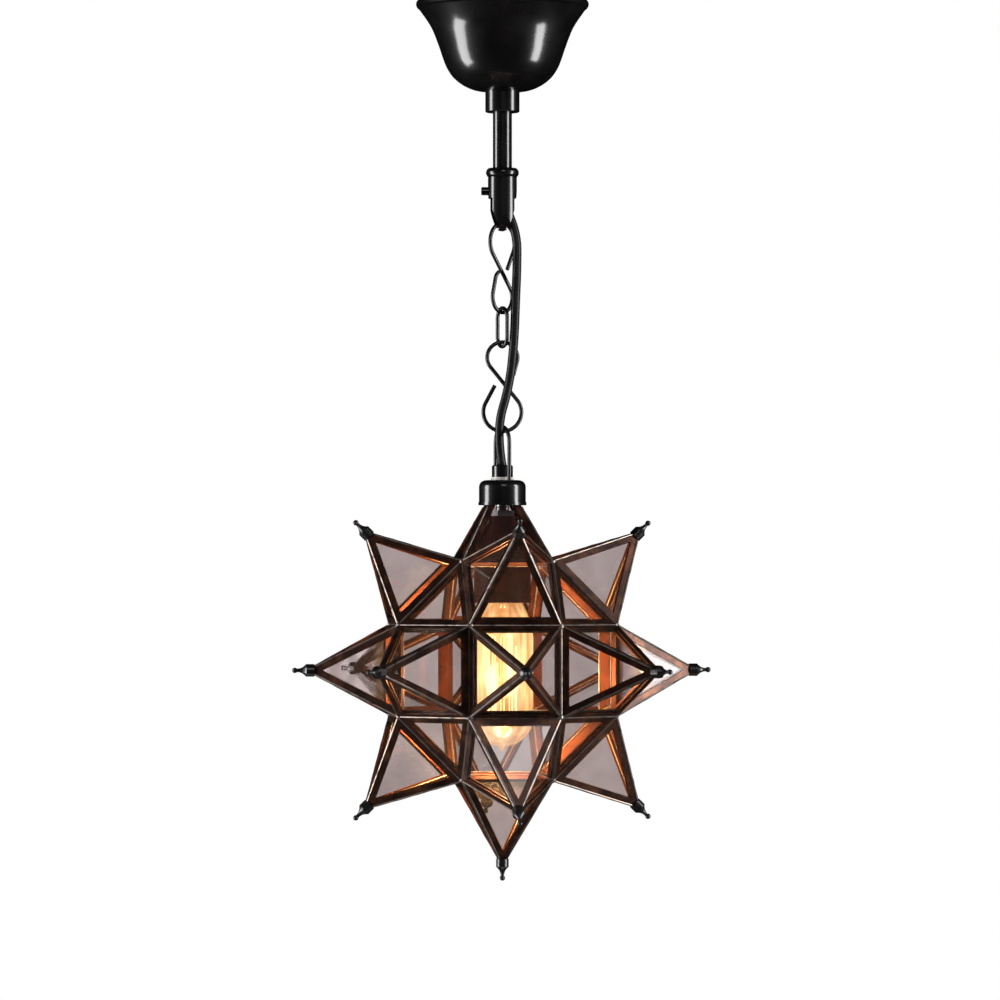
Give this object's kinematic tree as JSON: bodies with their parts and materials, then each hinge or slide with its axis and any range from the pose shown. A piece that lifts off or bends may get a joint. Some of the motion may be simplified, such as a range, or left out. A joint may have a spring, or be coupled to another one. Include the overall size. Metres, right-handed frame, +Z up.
{
  "type": "glass star pendant light",
  "caption": "Hanging moravian star lantern of leaded clear glass points with ball finials, a lit filament bulb inside, hung from a ceiling canopy by S-links.",
  "frame": {"origin": "centre of the bracket's slot pattern, on the ceiling plane", "axes": "+Z up towards the ceiling, -Y towards the front of the star, +X to its right"},
  "size_m": [0.3078, 0.3078, 0.6539],
  "materials": {
    "black_enamel": "gloss black enamel",
    "black_wire": "satin black bent wire",
    "zinc_steel": "zinc-plated steel",
    "black_cable": "satin black cable sheath",
    "core_insulation": "coloured core insulation",
    "terminal_nylon": "white nylon with plated screws",
    "white_washer": "pale plastic",
    "dark_bronze": "dark bronze patina over lead channel",
    "clear_glass": "clear sheet glass, faintly smoky",
    "brown_phenolic": "dark brown phenolic",
    "brass": "brass",
    "lamp_glass": "clear lamp glass",
    "filament_wire": "glowing carbon filament"
  },
  "bodies": {
    "hanger": {"ceiling_bracket": "zinc_steel", "stem_lock_nuts": "zinc_steel", "stem_washer": "zinc_steel", "earth_screw": "zinc_steel", "terminal_block": "terminal_nylon", "conductors": "core_insulation", "stem": "black_enamel", "stem_lead": "black_cable", "hook_yoke": "black_enamel", "yoke_cross_screw": "black_enamel", "supply_cable": "black_cable"},
    "canopy_set": {"canopy": "black_enamel", "canopy_collar": "black_enamel", "collar_grub_screw": "zinc_steel"},
    "upper_link": {"upper_s_link": "black_wire"},
    "middle_link": {"oval_link": "black_wire"},
    "lower_link": {"lower_s_link": "black_wire"},
    "star": {"bail": "black_wire", "cable_gland": "black_enamel", "gland_washer": "white_washer", "star_cap": "black_enamel", "cap_nipple": "zinc_steel", "nipple_nuts": "zinc_steel", "holder_cover": "brown_phenolic", "holder_skirt": "brown_phenolic", "holder_insert": "brass", "frame_front": "dark_bronze", "frame_right": "dark_bronze", "frame_left": "dark_bronze", "frame_bottom": "dark_bronze", "frame_upper_right": "dark_bronze", "frame_upper_left": "dark_bronze", "frame_lower_right": "dark_bronze", "frame_lower_left": "dark_bronze", "frame_upper_front": "dark_bronze", "frame_upper_rear": "dark_bronze", "frame_lower_front": "dark_bronze", "frame_lower_rear": "dark_bronze", "frame_front_right": "dark_bronze", "frame_front_left": "dark_bronze", "frame_rear_right": "dark_bronze", "frame_rear_left": "dark_bronze", "frame_top": "dark_bronze", "corner_frames": "dark_bronze", "upper_glass": "clear_glass", "middle_glass": "clear_glass", "lower_glass": "clear_glass", "corner_glass": "clear_glass", "tip_finials": "dark_bronze", "hinge_fixed": "dark_bronze", "hinge_pin": "zinc_steel"},
    "door": {"door_frame": "dark_bronze", "door_glass": "clear_glass", "door_finial": "dark_bronze", "hinge_leaf": "dark_bronze", "door_catch": "dark_bronze"},
    "bulb": {"bulb_cap": "brass", "bulb_glass": "lamp_glass", "bulb_stem": "lamp_glass", "filament": "filament_wire"}
  },
  "joints": [
    {"name": "canopy_slide", "type": "slide", "parent": "hanger", "child": "canopy_set", "axis": [0, 0, -1], "range_m": [0, 0.038]},
    {"name": "upper_link_swing", "type": "hinge", "parent": "hanger", "child": "upper_link", "pos_m": [0, 0, -0.1778], "axis": [0, 1, 0], "range_deg": [-15, 15]},
    {"name": "middle_link_swing", "type": "hinge", "parent": "upper_link", "child": "middle_link", "pos_m": [0, 0, -0.23885], "axis": [0.7193, 0.6947, 0], "range_deg": [-15, 15]},
    {"name": "lower_link_swing", "type": "hinge", "parent": "middle_link", "child": "lower_link", "pos_m": [0, 0, -0.26375], "axis": [-0.3746, 0.9272, 0], "range_deg": [-15, 15]},
    {"name": "star_swing", "type": "hinge", "parent": "lower_link", "child": "star", "pos_m": [0, 0, -0.32565], "axis": [1, 0, 0], "range_deg": [-15, 15], "deforming": ["supply_cable"]},
    {"name": "door_hinge", "type": "hinge", "parent": "star", "child": "door", "pos_m": [-0.03435, 0.08292, -0.5], "axis": [0, 0, 1], "range_deg": [0, 90]},
    {"name": "bulb_turn", "type": "hinge", "parent": "star", "child": "bulb", "pos_m": [0, 0, -0.44], "axis": [0, 0, 1], "range_deg": [0, 360]}
  ]
}
